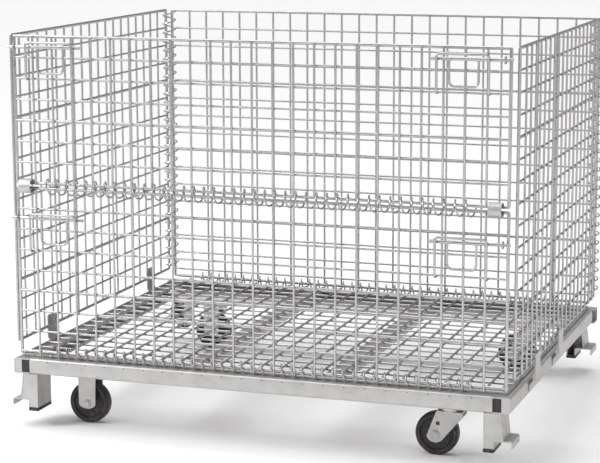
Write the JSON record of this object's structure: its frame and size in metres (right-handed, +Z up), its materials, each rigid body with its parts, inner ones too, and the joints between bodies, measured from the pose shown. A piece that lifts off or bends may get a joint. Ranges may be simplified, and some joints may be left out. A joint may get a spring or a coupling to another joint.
{
  "type": "wire mesh container",
  "caption": "Collapsible wire mesh box on a folded steel base with stacking feet and casters, with a fold-down front gate, latches and hinged sides.",
  "frame": {"origin": "middle of the outline on the floor, under the wheels", "axes": "+X to the right facing the gate, +Y from the gate to the back, +Z up"},
  "size_m": [1.2318, 1.0072, 0.9307],
  "materials": {
    "zinc_wire": "bright zinc plated wire",
    "zinc_sheet": "bright zinc plated sheet",
    "yellow_zinc": "yellow passivated zinc",
    "black_rubber": "matt black"
  },
  "bodies": {
    "root": {"left_base_rail": "zinc_sheet", "right_base_rail": "zinc_sheet", "front_base_rail": "zinc_sheet", "rear_base_rail": "zinc_sheet", "front_caster_bearer": "zinc_sheet", "rear_caster_bearer": "zinc_sheet", "left_floor_bearer": "zinc_sheet", "right_floor_bearer": "zinc_sheet", "floor_mesh": "zinc_wire", "front_left_leg": "zinc_sheet", "front_left_foot_pad": "black_rubber", "front_left_side_guide": "zinc_sheet", "front_right_leg": "zinc_sheet", "front_right_foot_pad": "black_rubber", "front_right_side_guide": "zinc_sheet", "rear_left_leg": "zinc_sheet", "rear_left_foot_pad": "black_rubber", "rear_left_side_guide": "zinc_sheet", "rear_right_leg": "zinc_sheet", "rear_right_foot_pad": "black_rubber", "rear_right_side_guide": "zinc_sheet", "rear_panel_mesh": "zinc_wire", "front_foot_coil": "zinc_wire", "rear_foot_coil": "zinc_wire", "left_corner_coil": "zinc_wire", "right_corner_coil": "zinc_wire", "front_left_caster_fork": "zinc_sheet", "front_left_caster_axle": "zinc_sheet", "front_right_caster_plate": "zinc_sheet", "rear_left_caster_fork": "zinc_sheet", "rear_left_caster_axle": "zinc_sheet", "rear_right_caster_plate": "zinc_sheet"},
    "left_side": {"left_side_mesh": "zinc_wire"},
    "right_side": {"right_side_mesh": "zinc_wire"},
    "lower_gate": {"lower_gate_mesh": "zinc_wire", "middle_coil": "zinc_wire", "left_middle_clip": "zinc_sheet", "right_middle_clip": "zinc_sheet", "lower_left_keeper": "zinc_wire", "lower_left_bolt_eye": "zinc_wire", "lower_right_keeper": "zinc_wire", "lower_right_bolt_eye": "zinc_wire"},
    "upper_gate": {"upper_gate_mesh": "zinc_wire", "upper_left_keeper": "zinc_wire", "upper_left_bolt_eye": "zinc_wire", "upper_right_keeper": "zinc_wire", "upper_right_bolt_eye": "zinc_wire"},
    "upper_left_bolt": {"upper_left_bolt": "zinc_wire"},
    "upper_right_bolt": {"upper_right_bolt": "zinc_wire"},
    "lower_left_bolt": {"lower_left_bolt": "zinc_wire"},
    "lower_right_bolt": {"lower_right_bolt": "zinc_wire"},
    "front_right_caster": {"front_right_caster_fork": "yellow_zinc", "front_right_caster_axle": "zinc_sheet"},
    "front_left_caster_wheel": {"front_left_caster_wheel": "black_rubber"},
    "front_right_caster_wheel": {"front_right_caster_wheel": "black_rubber"},
    "rear_right_caster": {"rear_right_caster_fork": "yellow_zinc", "rear_right_caster_axle": "zinc_sheet"},
    "rear_left_caster_wheel": {"rear_left_caster_wheel": "black_rubber"},
    "rear_right_caster_wheel": {"rear_right_caster_wheel": "black_rubber"}
  },
  "joints": [
    {"name": "left_side_swing", "type": "hinge", "parent": "root", "child": "left_side", "pos_m": [-0.593, 0.4721, 0.5789], "axis": [0, 0, 1], "range_deg": [0, 90]},
    {"name": "right_side_swing", "type": "hinge", "parent": "root", "child": "right_side", "pos_m": [0.593, 0.4721, 0.5789], "axis": [0, 0, -1], "range_deg": [0, 84]},
    {"name": "lower_gate_fold", "type": "hinge", "parent": "root", "child": "lower_gate", "pos_m": [0, -0.4689, 0.1825], "axis": [1, 0, 0], "range_deg": [-89, 0]},
    {"name": "upper_gate_drop", "type": "hinge", "parent": "lower_gate", "child": "upper_gate", "pos_m": [0, -0.4819, 0.5789], "axis": [1, 0, 0], "range_deg": [0, 158]},
    {"name": "upper_left_bolt_slide", "type": "slide", "parent": "upper_gate", "child": "upper_left_bolt", "axis": [-1, 0, 0], "range_m": [-0.016, 0.015]},
    {"name": "upper_right_bolt_slide", "type": "slide", "parent": "upper_gate", "child": "upper_right_bolt", "axis": [1, 0, 0], "range_m": [-0.016, 0.015]},
    {"name": "lower_left_bolt_slide", "type": "slide", "parent": "lower_gate", "child": "lower_left_bolt", "axis": [-1, 0, 0], "range_m": [-0.016, 0.015]},
    {"name": "lower_right_bolt_slide", "type": "slide", "parent": "lower_gate", "child": "lower_right_bolt", "axis": [1, 0, 0], "range_m": [-0.016, 0.015]},
    {"name": "front_right_caster_swivel", "type": "hinge", "parent": "root", "child": "front_right_caster", "pos_m": [0.445, -0.3989, 0.1255], "axis": [0, 0, 1], "continuous": true},
    {"name": "front_left_caster_wheel_roll", "type": "hinge", "parent": "root", "child": "front_left_caster_wheel", "pos_m": [-0.445, -0.3989, 0.05], "axis": [0, 1, 0], "continuous": true},
    {"name": "front_right_caster_wheel_roll", "type": "hinge", "parent": "front_right_caster", "child": "front_right_caster_wheel", "pos_m": [0.413, -0.3989, 0.05], "axis": [0, 1, 0], "continuous": true},
    {"name": "rear_right_caster_swivel", "type": "hinge", "parent": "root", "child": "rear_right_caster", "pos_m": [0.445, 0.4111, 0.1255], "axis": [0, 0, 1], "continuous": true},
    {"name": "rear_left_caster_wheel_roll", "type": "hinge", "parent": "root", "child": "rear_left_caster_wheel", "pos_m": [-0.445, 0.4111, 0.05], "axis": [0, 1, 0], "continuous": true},
    {"name": "rear_right_caster_wheel_roll", "type": "hinge", "parent": "rear_right_caster", "child": "rear_right_caster_wheel", "pos_m": [0.413, 0.4111, 0.05], "axis": [0, 1, 0], "continuous": true}
  ]
}
